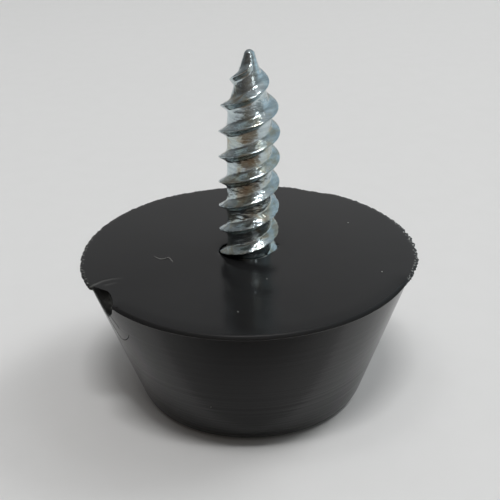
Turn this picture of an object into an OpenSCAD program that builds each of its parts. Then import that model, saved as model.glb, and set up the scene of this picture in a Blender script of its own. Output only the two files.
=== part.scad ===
// Rubber foot with a moulded-in wood screw.
// A rubber truncated cone stands on its small end. The screw comes out of the wide end, and turning
// the whole foot drives it until that face is drawn flat against the underside of a case or board.
// The sole is at z = 0, centred on the origin, and the screw points up.

/* [Rubber] */
// Diameter at which the side would meet the top face
rim_d = 28.5; // [26:0.1:38]
// Diameter at which the side would meet the sole
sole_d = 20; // [15:0.1:24]
// Height of the rubber, from sole to top face
foot_h = 13; // [10.8:0.1:24]
// Radius of the rounded edge of the sole
sole_round = 1.3; // [0.3:0.1:2.5]

/* [Flash lip] */
// Reach of the trimmed flash beyond the rim
lip_out = 0.4; // [0.1:0.05:0.6]
// Width of the sloping band between the flat face and the trimmed edge
band_w = 0.55; // [0.3:0.05:1]
// Fall of that band to its trimmed edge
band_drop = 0.15; // [0.05:0.01:0.4]
// Thickness of the flash at its trimmed edge
lip_t = 0.1; // [0.05:0.01:0.3]

/* [Torn corner] */
// Direction of the tear, in degrees round from +X
tear_at = -145.5; // [-180:0.5:180]
// Length of the tear along the rim
tear_w = 3.3; // [1.5:0.1:6]
// Length of the tear along its foot
tear_foot_w = 0.9; // [0.3:0.1:3]
// Sideways distance from the middle of its rim edge to the middle of its foot
tear_slant = -0.85; // [-2:0.05:2]
// Depth of the tear into the side
tear_in = 0.5; // [0.2:0.05:1]
// Distance the tear runs down from the top face
tear_down = 2.4; // [1:0.1:5]

/* [Wood screw] */
// Outer diameter of the thread
thread_d = 5.2; // [4.2:0.05:6.4]
// Root diameter of the thread
root_d = 3.65; // [2.6:0.05:4]
// Distance from one crest to the next
crest_step = 2.19; // [1.8:0.005:2.8]
// Number of thread starts
starts = 2; // [2:1:3]
// Length of the flank above a crest
flank_up = 0.62; // [0.4:0.01:0.9]
// Length of the flank below a crest
flank_down = 0.55; // [0.3:0.01:0.7]
// Hollowness of the flanks: 1 is straight, more is more hollow
flank_curve = 1.5; // [1:0.1:2.5]
// Direction in which a crest leaves the top face, in degrees round from +X
crest_at = 14.3; // [-180:0.1:180]
// Lean of the screw towards +X, in degrees
screw_lean = 1.46; // [0:0.01:3]

/* [Screw point] */
// Length of screw that stands out of the top face
screw_out = 17.5; // [12:0.1:24]
// Included angle of the point
point_angle = 35; // [26:1:60]
// Radius of the blunted tip
tip_round = 0.45; // [0.2:0.05:0.8]
// Length at the tip that carries no thread
bare_tip = 1; // [0.5:0.1:2.5]
// Length over which the thread rises to full height
rise_l = 4; // [2:0.1:6]
// How gradually it rises: 1 is steady, less rises sooner
rise_curve = 0.35; // [0.1:0.05:1]

/* [Screw in the rubber] */
// Depth of the head's underside below the top face
head_depth = 7.5; // [6:0.1:9]
// Diameter of the pan head
head_d = 9.5; // [7:0.1:12]
// Thickness of the head
head_t = 2.3; // [1.5:0.1:2.5]
// Diameter of the plain shank under the head
shank_d = 3.8; // [3.5:0.05:4.5]
// Depth at which the thread runs out into the shank
thread_in = 4.2; // [2:0.1:5]
// Length over which it runs out
run_out = 1.2; // [0.5:0.1:2]

/* [Fits] */
// Gap between the rubber and the screw
grip_gap = 0.02; // [0:0.01:0.1]
// Radial width of the relief in the top face around the thread
relief_gap = 0.2; // [0.1:0.05:0.6]
// Depth of that relief
relief_depth = 0.1; // [0.05:0.01:0.5]

/* [Hidden] */

rim_r = rim_d / 2;
sole_r = sole_d / 2;
draft = atan2(rim_r - sole_r, foot_h);

// The rounding touches the sole and the side at these distances from their corner
round_reach = sole_round * tan(45 - draft / 2);
round_c = [sole_r - round_reach, sole_round];
round_end = [sole_r + round_reach * sin(draft), round_reach * cos(draft)];

// Flash lip
lip_r = rim_r + lip_out;
flat_r = lip_r - band_w;
lip_top = foot_h - band_drop;
lip_foot = lip_top - lip_t;

// Thread
facets = 30;
lead = starts * crest_step;
row_h = lead / facets;
ridge_h = (thread_d - root_d) / 2;
root_r = root_d / 2;

// The round tip meets the cone of the point at this height above the top face
half_point = point_angle / 2;
nose_c = screw_out - tip_round;
nose_h = nose_c + tip_round * sin(half_point);
nose_r = tip_round * cos(half_point);
// Roundness of the shoulder where the point's cone meets the root
shoulder = 0.3;

// Radius of the side of the rubber at a height above the sole
function side_r(z) = sole_r + z * tan(draft);

function clamp01(x) = min(1, max(0, x));

// The smaller of two values, with a rounded change from one to the other
function soft_min(a, b, k) = (a + b - sqrt((a - b) ^ 2 + k ^ 2)) / 2;

// How much of the run-out is past: 0 on the plain shank, 1 on the full thread
function run_in(z) = clamp01((z + thread_in) / run_out);

// Radius of the screw between its ridges: plain shank, thread root, then the cone of the point
function core_r(z) =
    let (body_r = root_r + (shank_d / 2 - root_r) * (1 - run_in(z)))
    soft_min(body_r, nose_r + (nose_h - z) * tan(half_point), shoulder);

// Share of full ridge height that a crest has reached at a height above the top face
function risen(crest_z) = clamp01((screw_out - bare_tip - crest_z) / rise_l) ^ rise_curve;

// Height of the ridge at a distance above or below its crest, measured along the screw
function ridge(d) = ridge_h * (1 - clamp01(abs(d) / (d > 0 ? flank_up : flank_down))) ^ flank_curve;

// Distance along the screw from a point on it to the nearest crest
function past_crest(z, turn) =
    let (crests = z / crest_step - starts * turn / 360)
    (crests - round(crests)) * crest_step;

// Radius of the screw at a height above the top face and a turn from crest_at. The ridge fades into
// the shank below, and along its own crest towards the tip.
function screw_r(z, turn) =
    let (past = past_crest(z, turn))
    core_r(z) + run_in(z) * risen(z - past) * ridge(past);

// Pan head as rings of [height, radius], swollen by a gap
function head_rings(gap) =
    let (r = head_d / 2 + gap, low = -head_depth - head_t - gap, high = -head_depth + gap)
    [
        for (a = [0 : 30 : 90]) [low + head_t / 2 * (1 - cos(a)), r - head_t / 2 * (1 - sin(a))],
        [high, r],
        [high, shank_d / 2 + gap]
    ];

// Closed skin around the axis, from its foot to its top: plain rings, then thread rows, then the nose.
// The rows are spaced so that each crest follows the diagonals of the grid.
module screw_skin(gap, top) {
    first = floor(-thread_in / row_h);
    last = floor(min(top, nose_h - row_h / 2) / row_h);
    nose = [
        for (a = [half_point : (90 - half_point) / 6 : 89])
            [nose_c + tip_round * sin(a), tip_round * cos(a)]
    ];
    rings = concat(
        [for (h = head_rings(gap)) [for (j = [0 : facets - 1]) [h[1], 360 * j / facets, h[0]]]],
        [for (i = [first : last]) [for (j = [0 : facets - 1])
            let (turn = 360 * j / facets)
            [screw_r(i * row_h, turn) + gap, turn, i * row_h]]],
        top < nose_h ? [] : [for (h = nose) [for (j = [0 : facets - 1]) [h[1], 360 * j / facets, h[0]]]]
    );
    count = len(rings);
    points = [for (ring = rings) for (p = ring) [p[0] * cos(p[1]), p[0] * sin(p[1]), p[2]]];
    sides = [for (i = [0 : count - 2]) for (j = [0 : facets - 1])
        let (a = i * facets + j, b = i * facets + (j + 1) % facets)
        each [[a, b + facets, b], [a, a + facets, b + facets]]];
    foot = [for (j = [0 : facets - 1]) j];
    crown = [for (j = [facets - 1 : -1 : 0]) (count - 1) * facets + j];
    polyhedron(points = points, faces = concat([foot], sides, [crown]), convexity = 20);
}

// Stands its children in the foot as the screw stands
module on_screw_axis() {
    translate([0, 0, foot_h])
        rotate([0, screw_lean, 0])
            rotate(crest_at)
                children();
}

// Half section of the rubber, from the axis out
module rubber_section() {
    polygon([
        [0, 0],
        [round_c[0], 0],
        round_c,
        round_end,
        [side_r(lip_foot), lip_foot],
        [lip_r, lip_foot],
        [lip_r, lip_top],
        [flat_r, foot_h],
        [0, foot_h]
    ]);
    // Rounded edge of the sole
    intersection() {
        translate(round_c)
            circle(sole_round, $fn = 96);
        polygon([
            round_c,
            round_c - [0, 2 * sole_round],
            [sole_r + 2 * sole_round, -2 * sole_round],
            round_c + 2 * (round_end - round_c)
        ]);
    }
}

// Piece torn out of the rim, of one depth into the side, seen square on as a leaning four-sided patch
module tear() {
    above = 1;
    top = foot_h + above;
    difference() {
        rotate(tear_at)
            rotate([90, 0, 90])
                linear_extrude(lip_r + 1)
                    polygon([
                        [-tear_w / 2, top],
                        [-tear_w / 2, foot_h],
                        [tear_slant - tear_foot_w / 2, foot_h - tear_down],
                        [tear_slant + tear_foot_w / 2, foot_h - tear_down],
                        [tear_w / 2, foot_h],
                        [tear_w / 2, top]
                    ]);
        cylinder(h = top, r1 = sole_r - tear_in, r2 = side_r(top) - tear_in, $fn = 180);
    }
}

module rubber_body() {
    color("#26272a")
        difference() {
            rotate_extrude($fn = 180)
                rubber_section();
            tear();
            on_screw_axis()
                screw_skin(grip_gap, 2 * relief_depth + 1);
            translate([0, 0, foot_h - relief_depth])
                cylinder(h = 1, r = thread_d / 2 + relief_gap, $fn = 96);
        }
}

module wood_screw() {
    color("#aeb6bc")
        on_screw_axis()
            screw_skin(0, screw_out);
}

rubber_body();
wood_screw();
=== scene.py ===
import math

import bpy
import numpy as np
from mathutils import Matrix, Vector


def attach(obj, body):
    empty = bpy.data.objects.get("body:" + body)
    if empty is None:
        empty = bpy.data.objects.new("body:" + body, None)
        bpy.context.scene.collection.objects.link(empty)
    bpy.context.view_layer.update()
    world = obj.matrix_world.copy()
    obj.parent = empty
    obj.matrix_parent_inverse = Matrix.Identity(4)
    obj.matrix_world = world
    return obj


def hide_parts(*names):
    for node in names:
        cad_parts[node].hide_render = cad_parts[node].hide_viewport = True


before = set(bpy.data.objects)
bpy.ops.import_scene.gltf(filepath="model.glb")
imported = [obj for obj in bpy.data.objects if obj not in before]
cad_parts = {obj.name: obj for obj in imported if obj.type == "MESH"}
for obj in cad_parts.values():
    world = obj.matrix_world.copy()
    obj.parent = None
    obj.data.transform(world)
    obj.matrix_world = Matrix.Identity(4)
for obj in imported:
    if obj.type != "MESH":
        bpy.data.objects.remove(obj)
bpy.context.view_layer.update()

# ---------------------------------------------------------------------------------------------
# Camera. It looks down on the foot from the front, from a hand's breadth away. It is held in the
# hand, so it is turned a little about its own line of sight.
# ---------------------------------------------------------------------------------------------
mm = 0.001
focal_px, frame_px, sensor_mm = 866.894, 500, 36
eye = Vector((0.10404, -67.73408, 46.94942)) * mm
ahead = Vector((0, 0.893407, -0.449247))
roll = math.radians(-1.4153)
nearest_seen, farthest_seen = 1 * mm, 10

level = Vector((1, 0, 0))
upright = level.cross(ahead)
across = math.cos(roll) * level + math.sin(roll) * upright
above = math.cos(roll) * upright - math.sin(roll) * level

lens = bpy.data.cameras.new("camera")
lens.sensor_width = sensor_mm
lens.lens = focal_px / frame_px * sensor_mm
lens.clip_start = nearest_seen
lens.clip_end = farthest_seen
camera = bpy.data.objects.new("camera", lens)
camera.matrix_world = Matrix((
    (across.x, above.x, -ahead.x, eye.x),
    (across.y, above.y, -ahead.y, eye.y),
    (across.z, above.z, -ahead.z, eye.z),
    (0, 0, 0, 1)))
bpy.context.scene.collection.objects.link(camera)
bpy.context.scene.camera = camera

# ---------------------------------------------------------------------------------------------
# Table top. The foot stands on a sheet of smooth pale card, matt and very faintly mottled. It is a
# wide round sheet, so that it fills the view from every side.
# ---------------------------------------------------------------------------------------------
card_r, card_sides = 3.0, 128
card_dark, card_light = (0.63, 0.628, 0.622, 1), (0.652, 0.65, 0.646, 1)


def disc(radius, sides):
    """Points on a circle: radius times cosine and sine of equal turns, at height zero."""
    turn = np.arange(sides) * 2 * np.pi / sides
    return np.stack([radius * np.cos(turn), radius * np.sin(turn), 0 * turn], 1)


def add(tree, kind, sockets, **switches):
    """Adds a shader node of this kind to a tree, sets its switches, then the sockets named."""
    node = tree.nodes.new("ShaderNode" + kind)
    for name, value in switches.items():
        setattr(node, name, value)
    for name, value in sockets.items():
        node.inputs[name].default_value = value
    return node


def join(tree, *wires):
    """Links nodes. A wire is a node and its output, then the next node and its input."""
    for source, output, target, socket in wires:
        tree.links.new(source.outputs[output], target.inputs[socket])


card = bpy.data.meshes.new("table_card")
card.from_pydata(disc(card_r, card_sides).tolist(), [], [list(range(card_sides))])
floor = bpy.data.objects.new("table_card", card)
bpy.context.scene.collection.objects.link(floor)

pale_card = bpy.data.materials.new("pale_card")
pale_card.use_nodes = True
tree = pale_card.node_tree
coat = tree.nodes["Principled BSDF"]
coat.inputs["Roughness"].default_value = 0.9
coat.inputs["Specular IOR Level"].default_value = 0.1
place = add(tree, "TexCoord", {})
mottle = add(tree, "TexNoise", {"Scale": 300, "Detail": 3})
paper = add(tree, "Mix", {"A": card_dark, "B": card_light}, data_type="RGBA")
join(tree,
     (place, "Object", mottle, "Vector"),
     (mottle, "Fac", paper, "Factor"),
     (paper, "Result", coat, "Base Color"))
card.materials.append(pale_card)

# ---------------------------------------------------------------------------------------------
# Room. Its pale walls light the foot from all round: brighter and cooler at the right, dimmer and
# browner in front, and a little dimmer half way up than at the horizon or overhead.
# ---------------------------------------------------------------------------------------------
left_share, right_share, front_share = 0.13, 0.82, 0.45
brown_front, cool_right = (1.0, 0.78, 0.62, 1), (0.74, 0.88, 0.96, 1)
height_shares = [(0.36, (0.89, 0.89, 0.89, 1)), (0.57, (0.65, 0.65, 0.65, 1)), (0.85, (0.86, 0.86, 0.86, 1))]


def grade(ramp, stops):
    """Gives a colour ramp its stops, in order: each is a place from 0 to 1 and a colour."""
    elements = ramp.color_ramp.elements
    elements[0].position, elements[0].color = stops[0]
    elements[1].position, elements[1].color = stops[-1]
    for at, colour in stops[1:-1]:
        elements.new(at).color = colour


air = bpy.data.worlds.new("pale_walls")
bpy.context.scene.world = air
air.use_nodes = True
tree = air.node_tree
wall = tree.nodes["Background"]
place = add(tree, "TexCoord", {})
split = add(tree, "SeparateXYZ", {})
sideways = add(tree, "MapRange", {"From Min": -1, "To Min": left_share, "To Max": right_share})
behind = add(tree, "MapRange", {"From Min": -0.5, "From Max": 0.1, "To Min": front_share})
overhead = add(tree, "ValToRGB", {})
grade(overhead, height_shares)
level_share = add(tree, "Math", {}, operation="MULTIPLY")
share = add(tree, "Math", {}, operation="MULTIPLY")
tone = add(tree, "Mix", {"A": brown_front, "B": (1, 1, 1, 1)}, data_type="RGBA")
cooler = add(tree, "MapRange", {"From Min": 0.1, "From Max": 0.6})
cool = add(tree, "Mix", {"B": cool_right}, data_type="RGBA", blend_type="MULTIPLY")
join(tree,
     (place, "Generated", split, 0),
     (split, "X", sideways, "Value"),
     (split, "Y", behind, "Value"),
     (split, "Z", overhead, "Fac"),
     (sideways, "Result", level_share, 0),
     (behind, "Result", level_share, 1),
     (level_share, 0, share, 0),
     (overhead, "Color", share, 1),
     (share, 0, wall, "Strength"),
     (behind, "Result", tone, "Factor"),
     (split, "X", cooler, "Value"),
     (cooler, "Result", cool, "Factor"),
     (tone, "Result", cool, "A"),
     (cool, "Result", wall, "Color"))

# ---------------------------------------------------------------------------------------------
# Lamps. A bright narrow lamp hangs a little in front of the foot, and shiny surfaces show it. They
# don't show the six broader ones round it, and two windows in front are seen in them alone.
# ---------------------------------------------------------------------------------------------
def hang(name, right, back, glow, mirrored):
    """Hangs a flat lamp a metre above the table and gives it back. Its edges are seen from the foot at
    these angles from the vertical, in degrees to the right and to the back, so each lies at the tangent
    of its angle. Every part of it glows alike. Mirrored says whether shiny surfaces show it."""
    edges = [math.tan(math.radians(angle)) for angle in right + back]
    light = bpy.data.lights.new(name, "AREA")
    light.shape = "RECTANGLE"
    light.size, light.size_y = edges[1] - edges[0], edges[3] - edges[2]
    light.energy = glow * math.pi * light.size * light.size_y
    hung = bpy.data.objects.new(name, light)
    hung.location = ((edges[0] + edges[1]) / 2, (edges[2] + edges[3]) / 2, 1)
    hung.visible_glossy = mirrored
    bpy.context.scene.collection.objects.link(hung)
    return hung


hang("narrow_lamp", (-7, 9), (-16.6, -15), 122, True)
hang("front_lamp", (-9, 9), (-15, -12), 25, False)
hang("near_left_lamp", (-20, -9), (-12, -3), 8.4, False)
hang("far_left_lamp", (-28, -14), (-8, 4), 1.2, False)
hang("near_right_lamp", (9, 18), (-15, -10), 4.7, False)
hang("right_lamp", (20, 34), (-8, 12), 2.9, False)
hang("far_right_lamp", (34, 46), (4, 38), 9.8, False)
hang("front_window", (10, 28), (-38, -26), 3.5, True).visible_diffuse = False
hang("low_window", (48, 58), (-69, -59), 7, True).visible_diffuse = False

bpy.context.scene.view_settings.view_transform = "Standard"

# ---------------------------------------------------------------------------------------------
# Dark front. The table in front of the foot lies in the shade of whoever leans over it. A card just
# above it stands for that shade, and only shiny surfaces show it: grey, then nearly black, then brown.
# ---------------------------------------------------------------------------------------------
shade_near, shade_full, shade_far, shade_z = -0.0112, -0.024, -0.3, 0.0003
near_half_w, far_left, far_right = 0.04, -0.09, 0.07
shade_tones = [(0, (0.45, 0.445, 0.44, 1)), (0.25, (0.37, 0.365, 0.36, 1)),
               (0.6, (0.09, 0.085, 0.08, 1)), (1, (0.17, 0.12, 0.085, 1))]

front = bpy.data.meshes.new("dark_front")
front.from_pydata([(far_left, shade_far, shade_z), (far_right, shade_far, shade_z),
                   (near_half_w, shade_near, shade_z), (-near_half_w, shade_near, shade_z)],
                  [], [[0, 1, 2, 3]])
dark = bpy.data.objects.new("dark_front", front)
bpy.context.scene.collection.objects.link(dark)
dark.visible_camera = False
dark.visible_diffuse = False
dark.visible_shadow = False

brown = bpy.data.materials.new("brown_card")
brown.use_nodes = True
tree = brown.node_tree
dim = tree.nodes["Principled BSDF"]
dim.inputs["Roughness"].default_value = 0.8
place = add(tree, "TexCoord", {})
split = add(tree, "SeparateXYZ", {})
away = add(tree, "MapRange", {"From Min": shade_near, "From Max": shade_full})
fade = add(tree, "ValToRGB", {})
grade(fade, shade_tones)
join(tree,
     (place, "Object", split, 0),
     (split, "Y", away, "Value"),
     (away, "Result", fade, "Fac"),
     (fade, "Color", dim, "Base Color"))
front.materials.append(brown)

# ---------------------------------------------------------------------------------------------
# Wood screw. A steel wire is headed, its twin thread is rolled on and it is zinc plated; then the
# head end is moulded into the rubber. The thread is right-handed and runs down to a blunt point.
# ---------------------------------------------------------------------------------------------
top_z = 13.0
thread_r, root_r = 2.6, 1.825
crest_step, starts = 2.19, 2
flank_up, flank_down = 0.45, 0.42
crest_round, root_round = 0.05, 0.28
crest_at, screw_lean = math.radians(14.3), math.radians(1.46)
screw_out, half_point, tip_round = 17.5, math.radians(17.5), 0.45
bare_tip, rise_l, rise_curve = 1.0, 4.0, 0.35
shank_r, thread_in, run_out = 1.9, 4.2, 1.2
head_r, head_t, head_depth = 4.75, 2.3, 7.5
shoulder = 0.3
nose_c = screw_out - tip_round
nose_h = nose_c + tip_round * math.sin(half_point)
nose_r = tip_round * math.cos(half_point)


def screw_r(z, turn):
    """Radius of the screw at height z above the rubber and an angle turn from the crest: the lesser of
    the root and the point, with a rounded change, plus the ridge. The ridge falls straight on either
    side of the nearest crest, its top and foot rounded, and fades along the crest to the tip."""
    run_in = np.clip((z + thread_in) / run_out, 0, 1)
    body = root_r + (shank_r - root_r) * (1 - run_in)
    ball = np.sqrt(np.clip(tip_round ** 2 - (z - nose_c) ** 2, 0, None))
    point = np.where(z > nose_h, ball, nose_r + (nose_h - z) * math.tan(half_point))
    core = (body + point - np.sqrt((body - point) ** 2 + shoulder ** 2)) / 2
    core = np.clip(core + shoulder ** 2 / 4 / body, 0, None)
    crests = z / crest_step - starts * turn / (2 * np.pi)
    past = (crests - np.round(crests)) * crest_step
    near = np.sqrt(past ** 2 + crest_round ** 2) - crest_round * 0.5
    fall = 1 - near / np.where(past > 0, flank_up, flank_down)
    ridge = (fall + np.sqrt(fall ** 2 + root_round ** 2)) / 2
    share = run_in * np.clip((screw_out - bare_tip - z + past) / rise_l, 0, 1) ** rise_curve
    return core + share * (thread_r - root_r) * ridge


def skin(name, rings):
    """A closed surface through rings of points, rings[i, j]: each four-sided cell is cut along its
    rising diagonal, and the first and last ring are closed on the middle of their points."""
    count, sides = rings.shape[:2]
    a = (np.arange(count - 1)[:, None] * sides + np.arange(sides)).ravel()
    b = (np.arange(count - 1)[:, None] * sides + (np.arange(sides) + 1) % sides).ravel()
    j = np.arange(sides)
    last = (count - 1) * sides
    foot, crown = count * sides, count * sides + 1
    corners = np.concatenate([
        np.stack([a, b + sides, a + sides], 1),
        np.stack([a, b, b + sides], 1),
        np.stack([(j + 1) % sides, j, np.full(sides, foot)], 1),
        np.stack([last + j, last + (j + 1) % sides, np.full(sides, crown)], 1)])
    points = np.concatenate([rings.reshape(-1, 3), rings[:1].mean(1), rings[-1:].mean(1)])
    mesh = bpy.data.meshes.new(name)
    mesh.vertices.add(len(points))
    mesh.vertices.foreach_set("co", (points * mm).astype(np.float32).ravel())
    mesh.loops.add(corners.size)
    mesh.loops.foreach_set("vertex_index", corners.astype(np.int32).ravel())
    mesh.polygons.add(len(corners))
    mesh.polygons.foreach_set("loop_start", np.arange(0, corners.size, 3, dtype=np.int32))
    mesh.polygons.foreach_set("use_smooth", np.ones(len(corners), bool))
    mesh.update(calc_edges=True)
    mesh.validate()
    piece = bpy.data.objects.new(name, mesh)
    bpy.context.scene.collection.objects.link(piece)
    return piece


def on_screw_axis(points):
    """Turns points about the axis to where a crest leaves the rubber, leans them towards +X and
    lifts them to the top face."""
    x = points[..., 0] * math.cos(crest_at) - points[..., 1] * math.sin(crest_at)
    y = points[..., 0] * math.sin(crest_at) + points[..., 1] * math.cos(crest_at)
    z = points[..., 2]
    return np.stack([x * math.cos(screw_lean) + z * math.sin(screw_lean), y,
                     z * math.cos(screw_lean) - x * math.sin(screw_lean) + top_z], -1)


def smooth(t):
    """Rises from 0 to 1 as t does, level at both ends: three times its square less twice its cube."""
    t = np.clip(t, 0, 1)
    return t * t * (3 - 2 * t)


turns, nose_rings = 96, 9
row_h = starts * crest_step / turns
turn = np.arange(turns) * 2 * np.pi / turns

# Rings of the pan head, up to the shank under it
head_a = np.radians([0, 22.5, 45, 67.5, 90])
head_z = np.concatenate([-head_depth - head_t + head_t / 2 * (1 - np.cos(head_a)),
                         [-head_depth, -head_depth]])
head_w = np.concatenate([head_r - head_t / 2 * (1 - np.sin(head_a)), [head_r, shank_r]])

# Rings of the thread, whose rising diagonals follow the helix, and of the rounded tip
first_row = math.floor(-thread_in / row_h)
last_row = math.floor((nose_h - row_h / 2) / row_h)
thread_z = np.arange(first_row, last_row + 1) * row_h
nose_z = nose_c + tip_round * np.sin(np.linspace(half_point, np.pi / 2 * 0.97, nose_rings)) - 0.01
ring_z = np.concatenate([head_z, thread_z, nose_z])
ring_w = np.concatenate([
    np.repeat(head_w[:, None], turns, 1),
    screw_r(np.concatenate([thread_z, nose_z])[:, None], turn[None, :])])

# The lowest crests are chipped, where three waves that run round and up the screw add up
chip_depth, chipped_to, crest_from, least_wave = 0.07, 8, 2.3, 0.4
at, up = turn[None, :], ring_z[:, None]
waves = np.sin(13 * at + 3.1 * up) + np.sin(29 * at - 7.3 * up) + np.sin(41 * at + 5 * up)
low_crest = smooth((ring_w - crest_from) / 0.25) * smooth((chipped_to - up) / 4) * (up > -3)
ring_w = ring_w - chip_depth * low_crest * np.clip(waves - least_wave, 0, 1)
screw = skin("wood_screw_steel", on_screw_axis(np.stack([
    ring_w * np.cos(turn), ring_w * np.sin(turn), np.repeat(ring_z[:, None], turns, 1)], -1)))

# Zinc plate: clouded from blue to straw, streaked by the rolling, with small knocks all over
zinc_tints = [(0.34, (0.45, 0.41, 0.34, 1)), (0.4, (0.51, 0.52, 0.45, 1)), (0.46, (0.56, 0.63, 0.61, 1)),
              (0.54, (0.57, 0.66, 0.7, 1)), (0.66, (0.67, 0.77, 0.79, 1))]
zinc = bpy.data.materials.new("zinc_plate")
zinc.use_nodes = True
tree = zinc.node_tree
metal = tree.nodes["Principled BSDF"]
metal.inputs["Metallic"].default_value = 1.0
place = add(tree, "TexCoord", {})
patch = add(tree, "TexNoise", {"Scale": 620, "Detail": 6, "Roughness": 0.6, "Distortion": 0.6})
tint = add(tree, "ValToRGB", {})
grade(tint, zinc_tints)
along = add(tree, "Mapping", {"Scale": (250, 250, 5200)})
turned = add(tree, "TexNoise", {"Scale": 1, "Detail": 4})
streak_tone = add(tree, "MapRange", {"From Min": 0.35, "From Max": 0.6, "To Min": 0.45})
streak = add(tree, "Mix", {"Factor": 0.4}, data_type="RGBA", blend_type="MULTIPLY")
rough = add(tree, "MapRange", {"To Min": 0.28, "To Max": 0.13})
scratch = add(tree, "Bump", {"Strength": 0.8, "Distance": 0.00002})
knocks = add(tree, "TexNoise", {"Scale": 1500, "Detail": 3})
dent = add(tree, "Bump", {"Strength": 1, "Distance": 0.00008})
join(tree,
     (place, "Object", patch, "Vector"),
     (patch, "Fac", tint, "Fac"),
     (place, "Object", along, "Vector"),
     (along, "Vector", turned, "Vector"),
     (turned, "Fac", streak_tone, "Value"),
     (tint, "Color", streak, "A"),
     (streak_tone, "Result", streak, "B"),
     (streak, "Result", metal, "Base Color"),
     (patch, "Fac", rough, "Value"),
     (rough, "Result", metal, "Roughness"),
     (turned, "Fac", scratch, "Height"),
     (place, "Object", knocks, "Vector"),
     (knocks, "Fac", dent, "Height"),
     (scratch, "Normal", dent, "Normal"),
     (dent, "Normal", metal, "Normal"))
screw.data.materials.append(zinc)

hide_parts("wood_screw")
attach(screw, "root")

# ---------------------------------------------------------------------------------------------
# Rubber body. Black rubber is pressed in a two-part mould round the head of the screw. The flash
# squeezed out at the rim is trimmed by hand, which leaves a ragged lip, and one corner is torn.
# ---------------------------------------------------------------------------------------------
rim_r, sole_r, sole_round = 14.25, 10.0, 1.3
taper = (rim_r - sole_r) / top_z
draft = math.atan(taper)
reach = sole_round * math.tan(math.pi / 4 - draft / 2)
bead, bead_z, bead_w = 0.07, 0.4, 0.09
seam_at = -165


def wander(turn, waves, seed):
    """A ragged line round the rim, from -1 to 1: a sum of sines of whole numbers of waves, each with its
    own size and start."""
    dice = np.random.default_rng(seed)
    total = np.zeros_like(turn)
    for count in waves:
        total = total + dice.uniform(0.4, 1) * np.sin(count * turn + dice.uniform(0, 2 * np.pi))
    return total / np.sqrt(len(waves))


def jagged(at, count, seed):
    """A jagged line round the rim: levels at unequal steps, joined by straight lines. Every second level
    lies between 0.2 and 1, the others between -1 and -0.2."""
    dice = np.random.default_rng(seed)
    level = dice.uniform(0.2, 1, count) * np.where(np.arange(count) % 2, 1, -1)
    return np.interp(at, np.sort(dice.uniform(seam_at, seam_at + 360, count)), level)


# Columns stand closer where the rim is ragged, and closest at the tear: from each angle, how many
stops = [(seam_at, 160), (-133, 170), (-25, 240), (45, 170), (116, 260), (seam_at + 360, 0)]
degrees = np.concatenate([
    np.linspace(start, end, count, endpoint=False) for (start, count), (end, _) in zip(stops, stops[1:])])
around = np.radians(degrees)
columns = len(around)

# The tear: the radius of its brim on the top face by angle, then its left edge, its right edge and the
# depth of its hollow by height, and last the distance in which it deepens from each of its edges.
# One degree round the rim is a quarter of a millimetre.
degree_mm = 0.245
brim_at = [-154.8, -154.3, -153, -151.2, -149.7, -148.9, -147.5, -145.9, -144.2, -142.2, -140, -139]
brim_r = [14.25, 14.09, 13.86, 13.67, 13.47, 13.38, 13.35, 13.39, 13.51, 13.69, 13.97, 14.08]
tear_brim = np.interp(degrees, brim_at, brim_r)
tear_left, tear_right, tear_foot = -154.7, -139.2, 10.72
left_edge = [10.7, 12.6, top_z], [-152.9, -153.7, tear_left]
right_edge = [tear_foot, 10.97, 11.93, 12.64, top_z], [-149.3, -146.5, -141.9, -139.7, tear_right]
hollow_depth = [10.7, 11, 11.4, 12, 12.5, 12.8], [0.3, 0.45, 0.65, 0.85, 0.97, 1]
brim_t, hollow_run, lump_run, left_run, wall_run, foot_run = 0.14, 0.95, 0.3, 0.12, 0.09, 0.1


def tear_in(z):
    """Depth of the tear at height z in every column. Under the brim it widens to a hollow, which rises
    gently to its left edge and is cut off steeply at its right wall and its foot. The floor is lumpy."""
    past_left = (degrees - np.interp(z, *left_edge)) * degree_mm
    past_right = (np.interp(z, *right_edge) - degrees) * degree_mm
    below = smooth((top_z - z) / brim_t)
    hollow = np.interp(z, *hollow_depth) * smooth(past_left / hollow_run)
    lumps = (0.03 * np.sin(degrees * 2.3 + 5 * z) * np.sin(9 * z - degrees)
             + 0.02 * np.sin(degrees * 5.1 + 14 * z))
    brim = rim_r - tear_brim
    cut = (smooth((past_left + 0.05) / left_run) * smooth(past_right / wall_run)
           * smooth((z - tear_foot) / foot_run))
    return cut * (brim + below * (hollow + lumps * smooth(past_left / lump_run) - brim))


# The trimmed edge: its radius by angle, its teeth and its burr. In front it was cut clean.
clean_from, clean_to = -141, -22
at_front = smooth((degrees - clean_from) / 6) * smooth((clean_to - degrees) / 10)
edge_at = [seam_at, -160, -155, -150, -137, -30, -23, -19, -15, 0, 25, 30,
           54, 59, 67, 70, 75, 104, 116, 125, 160, seam_at + 360]
edge_r = [14.55, 14.5, 14.42, 14.4, 14.32, 14.36, 14.42, 14.42, 14.5, 14.52, 14.5, 14.54,
          14.6, 14.32, 14.3, 14.5, 14.5, 14.32, 14.46, 14.6, 14.6, 14.55]
least_edge, most_edge = 14.2, 14.645
roughest_at = 4
tooth = 0.075 + 0.1 * np.exp(-((degrees - roughest_at) / 20) ** 2)
teeth = jagged(degrees, 460, 3) * tooth * (1 - at_front)
rim_edge = np.clip(np.interp(degrees, edge_at, edge_r) + teeth, least_edge, most_edge)
burr = 0.035 * jagged(degrees, 500, 5)
burr_back, burr_w = 0.13, 0.07

fillet_rows = 19
rows_r, rows_z = [], []


def row(radius, height):
    """Adds a ring: its radius and height, each one number or one for every column."""
    rows_r.append(np.broadcast_to(radius, columns).astype(float))
    rows_z.append(np.broadcast_to(height, columns).astype(float))


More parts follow.
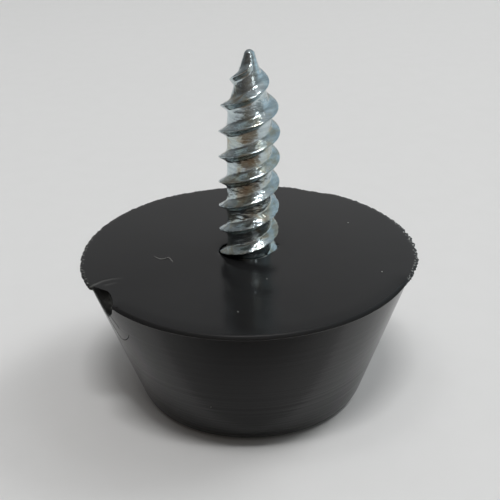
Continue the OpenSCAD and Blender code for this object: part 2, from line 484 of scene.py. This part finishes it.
# Sole, its rounded edge with a fine bead where the mould closes, and the side
for r in (3, 7, 8.6):
    row(r, 0)
for a in np.linspace(-math.pi / 2, -draft, fillet_rows):
    z = sole_round + sole_round * math.sin(a)
    round_r = sole_r - reach + sole_round * math.cos(a)
    row(round_r + bead * math.exp(-((z - bead_z) / bead_w) ** 2), z)
for low, high, count in ((1.3, 8.4, 6), (8.8, 10.6, 6), (10.8, 11, 6), (11.1, 12.6, 16)):
    for z in np.linspace(low, high, count):
        row(sole_r + taper * z - tear_in(z), z)

# Rim, out under the lip and over it to the flat: ragged as a distance from the trimmed edge, clean as
# a radius, each with its height, and the height that the same row takes in the tear
ragged = [(-0.2, 12.66), (-0.12, 12.7), (-0.03, 12.76), (0, 12.82), (-0.01, 12.88), (-0.05, 12.94),
          (-0.1, 12.97), (-0.16, 12.985), (-0.24, 12.995), (-0.34, 13), (-0.6, 13)]
clean = [(14.14, 12.605), (14.175, 12.62), (14.195, 12.645), (14.195, 12.675), (14.18, 12.71),
         (14.15, 12.755), (14.12, 12.8), (14.08, 12.85), (14.04, 12.89), (14.0, 12.915), (13.95, 12.93)]
torn_z = [12.66, 12.7, 12.75, 12.8, 12.84, 12.88, 12.91, 12.94, 12.965, 12.985, 13]
in_tear = (smooth((degrees - tear_left) * degree_mm / left_run)
           * smooth((tear_right - degrees) * degree_mm / wall_run))
for (back, z), (front_r, front_z), torn in zip(ragged, clean, torn_z):
    r = rim_edge + back if z > ragged[0][1] else sole_r + taper * z
    z = z + (burr * math.exp(-((back + burr_back) / burr_w) ** 2) if z > 12.9 else 0)
    r = r + (front_r - r) * at_front
    z = z + (front_z - z) * at_front
    torn_r = sole_r + taper * torn - tear_in(torn)
    row(r + (torn_r - r) * in_tear, z + (torn - z) * in_tear)

# Top face: it falls to the clean cut in front, and two shallow folds run in from the corner of the
# tear. A fold is its radii, then its angle and its depth at each.
front_fall, fall_r, fold_w = 0.07, 12.8, 0.13
folds = [([11.2, 11.8, 12.4, 13.1, 13.6, 14.1], [-155.4, -156.3, -157, -156.9, -156.1, -155.0],
          [0, 0.006, 0.012, 0.016, 0.022, 0.024]),
         ([12.1, 12.3, 13.1, 13.3], [-153.5, -153.5, -153.5, -153.5], [0, 0.006, 0.008, 0])]
flat = rows_r[-1]
top_rows = (0.03, 0.15, 0.3, 0.5, 0.75, 1)
inner_rows = (12.4, 12, 11.6, 11.2, 10.6, 9.6, 8, 6, 4.4, 3.4)
for t in top_rows:
    row(flat + (fall_r - flat) * t, top_z - front_fall * at_front * (1 - t) ** 2)
for r in inner_rows:
    row(r, top_z)
for k in range(len(rows_r) - len(top_rows) - len(inner_rows), len(rows_r)):
    for fold_r, fold_at, fold_depth in folds:
        off = (degrees - np.interp(rows_r[k], fold_r, fold_at)) * np.radians(1) * rows_r[k]
        depth = np.interp(rows_r[k], fold_r, fold_depth, left=0, right=fold_depth[-1])
        rows_z[k] = rows_z[k] - depth * np.exp(-(off / fold_w) ** 2)

# Mouth of the hole: the rubber follows the thread, with a little more room at the left and right.
# Under it the hole runs down round the shank to the head.
snug, uneven = 0.03, 0.02
left_room, left_at, right_room, right_at = 0.33, 158, 0.18, 42
slack = (snug + left_room * np.exp(-((degrees - left_at) / 20) ** 2)
         + left_room * np.exp(-((degrees + 360 - left_at) / 20) ** 2)
         + right_room * np.exp(-((degrees - right_at) / 18) ** 2)
         + uneven * wander(around, (17, 29, 41), 5))
for out, z in ((0.3, 0), (0.1, -0.006), (0.04, -0.03), (0.0, -0.09), (0.0, -0.25), (0.0, -0.5)):
    row(screw_r(np.full(columns, z), around - crest_at) + slack + out, top_z + z)
hole_r, neck_r, room = 2.75, 2.05, 0.1
for r, z in ((hole_r, -0.8), (hole_r, -4.4), (neck_r, -4.5), (neck_r, room / 2 - head_depth),
             (head_r + room, room / 2 - head_depth), (head_r + room, -head_depth - head_t / 2),
             (head_r - head_t / 2 + room, -head_depth - head_t - room)):
    row(r, top_z + z)

body_r, body_z = np.array(rows_r), np.array(rows_z)
rubber = skin("rubber_body_moulding",
              np.stack([body_r * np.cos(around), body_r * np.sin(around), body_z], -1))

# Painted light, mixed into the rubber's colour as a pale tone: a painted highlight along the bead, painted
# sheen low on the side, painted glints in flecks on the rim, painted highlights at the front of the hole's
# mouth and beside the folds
glint_noise = np.stack([jagged(degrees, 700, 20 + k) for k in range(len(body_r))])
outside = body_r > 9
low_sheen_z = 1.1
# Painted sheen: on the front half of the foot only, strongest at the front right
sheen_side_share = 0.4 + 0.6 * smooth((degrees + 120) / 90)
sheen_side_share = sheen_side_share * smooth((20 - degrees) / 30) * smooth((degrees - seam_at) / 30)
# Painted highlight along the bead, then painted sheen low on the side
painted_sheen = 0.09 * sheen_side_share * np.exp(-((body_z - bead_z - 0.03) / 0.07) ** 2) * outside
painted_sheen += 0.04 * sheen_side_share * np.exp(-((body_z - low_sheen_z) / 0.6) ** 2) * outside
# Painted glints in flecks along the ragged rim, brightest at the right
tear_at, glint_back = -147, 0.16
on_rim = np.exp(-((body_r - rim_edge + glint_back) / 0.09) ** 2) * (body_z > 12.9)
on_rim = on_rim * (1 - at_front) * (np.abs(degrees - tear_at) > 10)
glint_level = 1.1 + 1.9 * np.exp(-((degrees - roughest_at) / 25) ** 2)
painted_sheen += on_rim * np.clip(glint_noise - 0.3, 0, 1) * glint_level
# Painted highlight: a pale arc on the front lip of the hole's mouth, brightest towards its right
mouth_from, mouth_to, palest_at = -112, -36, -46
on_mouth = (body_r < 3.5) * (body_z < 12.999) * (body_z > 12.96)
on_mouth = on_mouth * smooth((degrees - mouth_from) / 15) * smooth((mouth_to - degrees) / 6)
painted_sheen += on_mouth * (0.3 + 0.6 * np.exp(-((degrees - palest_at) / 6) ** 2)) * (1 + 0.5 * glint_noise)
# Painted highlight along one flank of each fold
for fold_r, fold_at, fold_depth in folds:
    off = (degrees - np.interp(body_r, fold_r, fold_at)) * np.radians(1) * body_r
    fold_sheen = np.exp(-((off - 0.06) / 0.14) ** 2) * (body_z > 12.9)
    painted_sheen += 5 * np.interp(body_r, fold_r, fold_depth, left=0) * fold_sheen

# Torn and freshly cut rubber is matt, and painted shade darkens its colour: the pocket of the tear, with
# painted light in its middle, and the cut along the front
in_pocket = (sole_r + taper * body_z - body_r > 0.12) * (body_z > 10.6) * (body_z < 12.95)
in_pocket = in_pocket * (degrees > -156) * (degrees < -137)
cut_z, pocket_at, pocket_z = 12.75, -149.3, 11.7
# Painted shade: the pocket and the band of the cut along the front get a darkened colour
torn = in_pocket + 0.7 * at_front * np.exp(-((body_z - cut_z) / 0.16) ** 4) * (body_r > 13.8)
in_pocket = in_pocket * np.exp(-((degrees - pocket_at) / 2.6) ** 2 - ((body_z - pocket_z) / 0.6) ** 2)
pocket_sheen_noise = jagged(degrees, 1500, 70) * np.sin(11 * body_z + 0.7 * degrees)
# Painted light in the middle of the pocket's floor
painted_sheen += 0.12 * in_pocket * (1 + 0.8 * pocket_sheen_noise)
for name, shares in (("painted_sheen", painted_sheen), ("torn", torn)):
    noted = rubber.data.attributes.new(name, "FLOAT", "POINT")
    noted.data.foreach_set("value", np.concatenate([shares.ravel(), [0, 0]]).astype(np.float32))

# Black rubber: satin, faintly clouded and grained, with fine level lines left by the turning of the
# mould, which are clearer low on the side
black = bpy.data.materials.new("black_rubber")
black.use_nodes = True
tree = black.node_tree
gum = tree.nodes["Principled BSDF"]
gum.inputs["IOR"].default_value = 1.4
place = add(tree, "TexCoord", {})
cloud = add(tree, "TexNoise", {"Scale": 250, "Detail": 6})
shade = add(tree, "Mix", {"A": (0.008, 0.008, 0.0085, 1), "B": (0.012, 0.0122, 0.0125, 1)}, data_type="RGBA")
# The torn share makes the rubber matt and darkens its colour as painted shade
matt_and_shade = add(tree, "Attribute", {}, attribute_name="torn")
painted_shade_mix = add(tree, "Mix", {"B": (0.2, 0.2, 0.2, 1)}, data_type="RGBA", blend_type="MULTIPLY")
# The pale tone mixed in here is the painted highlights, sheen and glints
painted_sheen_attr = add(tree, "Attribute", {}, attribute_name="painted_sheen")
painted_sheen_mix = add(tree, "Mix", {"B": (0.45, 0.46, 0.43, 1)}, data_type="RGBA")
rough = add(tree, "MapRange", {"To Min": 0.13, "To Max": 0.24})
matt = add(tree, "Mix", {"B": 0.95}, data_type="FLOAT")
height = add(tree, "SeparateXYZ", {})
low_down = add(tree, "MapRange", {"From Min": 0.0125, "From Max": 0.003, "To Min": 0})
level_lines = add(tree, "Mapping", {"Scale": (40, 40, 3000)})
line_noise = add(tree, "TexNoise", {"Scale": 1, "Detail": 3})
lined = add(tree, "Math", {}, operation="MULTIPLY")
lines = add(tree, "Bump", {"Strength": 0.7, "Distance": 0.00005})
grain = add(tree, "TexNoise", {"Scale": 2500, "Detail": 4})
bump = add(tree, "Bump", {"Strength": 0.25, "Distance": 0.00002})
join(tree,
     (place, "Object", cloud, "Vector"),
     (cloud, "Fac", shade, "Factor"),
     (shade, "Result", painted_shade_mix, "A"),
     (matt_and_shade, "Fac", painted_shade_mix, "Factor"),
     (painted_shade_mix, "Result", painted_sheen_mix, "A"),
     (painted_sheen_attr, "Fac", painted_sheen_mix, "Factor"),
     (painted_sheen_mix, "Result", gum, "Base Color"),
     (cloud, "Fac", rough, "Value"),
     (rough, "Result", matt, "A"),
     (matt_and_shade, "Fac", matt, "Factor"),
     (matt, "Result", gum, "Roughness"),
     (place, "Object", level_lines, "Vector"),
     (level_lines, "Vector", line_noise, "Vector"),
     (place, "Object", height, 0),
     (height, "Z", low_down, "Value"),
     (line_noise, "Fac", lined, 0),
     (low_down, "Result", lined, 1),
     (lined, 0, lines, "Height"),
     (place, "Object", grain, "Vector"),
     (grain, "Fac", bump, "Height"),
     (lines, "Normal", bump, "Normal"),
     (bump, "Normal", gum, "Normal"))
rubber.data.materials.append(black)

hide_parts("rubber_body")
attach(rubber, "root")

# ---------------------------------------------------------------------------------------------
# Creases in the side. Below the tear the rubber was folded over, which left fine creases: a loop
# and a short one above it. Their shade is painted as flat dark slivers, under a tenth of a millimetre wide,
# set in the skin.
# ---------------------------------------------------------------------------------------------
crease_lift, crease_half_w, crease_half_t = 0.004, 0.035, 0.006
loop = [(-150.2, 10.7), (-149.4, 10.2), (-148.5, 9.6), (-147.6, 9.11), (-146.9, 8.8), (-145.85, 8.68),
        (-144, 8.77), (-141.6, 9.06), (-139.2, 9.48), (-137.3, 9.94), (-136.2, 10.3)]
short = [(-145.2, 11.3), (-144.7, 10.96), (-143.6, 10.6), (-142.9, 10.43), (-142.6, 10.1)]


def through(knots, steps=8):
    """A smooth path through knots: between each two of them, the cubic whose slope at a knot is half the
    way from the knot before it to the knot after."""
    k = np.array(knots, float)
    k = np.concatenate([2 * k[:1] - k[1:2], k, 2 * k[-1:] - k[-2:-1]])
    t = np.linspace(0, 1, steps, endpoint=False)[None, :, None]
    p, q, r, s = (k[i:len(k) - 3 + i, None, :] for i in range(4))
    path = 0.5 * (2 * q + (r - p) * t + (2 * p - 5 * q + 4 * r - s) * t ** 2
                  + (3 * q - p - 3 * r + s) * t ** 3)
    return np.concatenate([path.reshape(-1, 3), k[-2:-1]])


def strand(name, path, face, half_width, half_height, sides=10):
    """A thin closed strand along a path: rings of points, each the path plus cosine times the way
    across and sine times the way out of the face it lies on, drawn in to a point at both ends."""
    along = np.gradient(path, axis=0)
    across = np.cross(along, face)
    across /= np.linalg.norm(across, axis=1)[:, None]
    a = np.arange(sides) * 2 * np.pi / sides
    slim = np.sqrt(np.clip(1 - np.linspace(-1, 1, len(path)) ** 6, 0.02, 1))[:, None, None]
    return skin(name, path[:, None, :] + slim * (
        half_width * np.cos(a)[None, :, None] * across[:, None, :]
        + half_height * np.sin(a)[None, :, None] * np.broadcast_to(face, path.shape)[:, None, :]))


def on_side(knots, lift):
    """Knots given as angle in degrees and height, placed on the sloping side and lifted off it a little,
    with the direction square to the side at each."""
    at, z = np.radians(np.array(knots, float)[:, 0]), np.array(knots, float)[:, 1]
    path = through(np.stack([(sole_r + taper * z) * np.cos(at), (sole_r + taper * z) * np.sin(at), z], 1))
    out_r = np.hypot(path[:, 0], path[:, 1])
    face = np.stack([path[:, 0] / out_r * math.cos(draft), path[:, 1] / out_r * math.cos(draft),
                     np.full(len(path), -math.sin(draft))], 1)
    side_r = sole_r + taper * path[:, 2]
    path[:, 0] *= side_r / out_r
    path[:, 1] *= side_r / out_r
    return path + lift * face, face


# Painted shade of the creases: a dull, nearly black material
crease_shade = bpy.data.materials.new("crease_shadow")
crease_shade.use_nodes = True
tree = crease_shade.node_tree
dull = tree.nodes["Principled BSDF"]
dull.inputs["Roughness"].default_value = 1
dull.inputs["Specular IOR Level"].default_value = 0.1
place = add(tree, "TexCoord", {})
faint = add(tree, "TexNoise", {"Scale": 1800})
darkness = add(tree, "Mix", {"A": (0.01, 0.011, 0.01, 1), "B": (0.04, 0.042, 0.04, 1)}, data_type="RGBA")
join(tree,
     (place, "Object", faint, "Vector"),
     (faint, "Fac", darkness, "Factor"),
     (darkness, "Result", dull, "Base Color"))

for name, knots in (("crease_loop", loop), ("crease_short", short)):
    path, face = on_side(knots, crease_lift)
    crease = strand(name, path, face, crease_half_w, crease_half_t)
    crease.data.materials.append(crease_shade)
    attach(crease, "root")

# ---------------------------------------------------------------------------------------------
# Lint. A short pale fibre has settled on the top face, to the left of the screw. It is some two
# millimetres long, bent, and as fine as a hair.
# ---------------------------------------------------------------------------------------------
lint_half_w, lint_half_t = 0.022, 0.018
lint_knots = [(-8.21, -0.92, 13.02), (-7.82, -1.41, 13.02), (-7.38, -1.58, 13.03), (-6.96, -1.36, 13.05),
              (-6.78, -1.56, 13.04), (-6.58, -1.94, 13.02), (-6.47, -2.23, 13.02)]
upwards = np.array([0, 0, 1.0])
lint = strand("lint_fibre", through(lint_knots), upwards, lint_half_w, lint_half_t)

fibre = bpy.data.materials.new("pale_fibre")
fibre.use_nodes = True
tree = fibre.node_tree
fluff = tree.nodes["Principled BSDF"]
fluff.inputs["Roughness"].default_value = 0.8
place = add(tree, "TexCoord", {})
fleck = add(tree, "TexNoise", {"Scale": 3000})
off_white = add(tree, "Mix", {"A": (0.2, 0.2, 0.19, 1), "B": (0.4, 0.4, 0.38, 1)}, data_type="RGBA")
join(tree,
     (place, "Object", fleck, "Vector"),
     (fleck, "Fac", off_white, "Factor"),
     (off_white, "Result", fluff, "Base Color"))
lint.data.materials.append(fibre)
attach(lint, "root")

# ---------------------------------------------------------------------------------------------
# Dust. A few pale grains cling to the top face and the side. Each is a lumpy bead about a tenth of a
# millimetre across, as pale as the lint.
# ---------------------------------------------------------------------------------------------
grain_rows, grain_sides, grain_flatness = 7, 12, 0.6
grains = [((9.22, 4.83, 13.02), 0.07), ((10.93, -4.85, 13.02), 0.07), ((1.43, -5.57, 13.02), 0.05),
          ((-0.93, -10.71, 13.02), 0.05), ((2.57, 0.43, 13.02), 0.045), ((-9.25, -7.39, 5.63), 0.05),
          ((-3.35, -10.93, 4.31), 0.05)]


def grain_rings(centre, size, seed):
    """Rings of a lumpy bead: a flattened sphere whose radius varies a little from point to point."""
    dice = np.random.default_rng(seed)
    down = np.linspace(0.15, np.pi - 0.15, grain_rows)[::-1, None]
    turn = np.arange(grain_sides)[None, :] * 2 * np.pi / grain_sides
    r = size * dice.uniform(0.8, 1.15, (grain_rows, grain_sides))
    return np.array(centre) + np.stack([r * np.sin(down) * np.cos(turn), r * np.sin(down) * np.sin(turn),
                                        grain_flatness * r * np.cos(down) + 0 * turn], -1)


for k, (centre, size) in enumerate(grains):
    speck = skin("dust_grain_%d" % (k + 1), grain_rings(centre, size, k))
    speck.data.materials.append(fibre)
    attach(speck, "root")
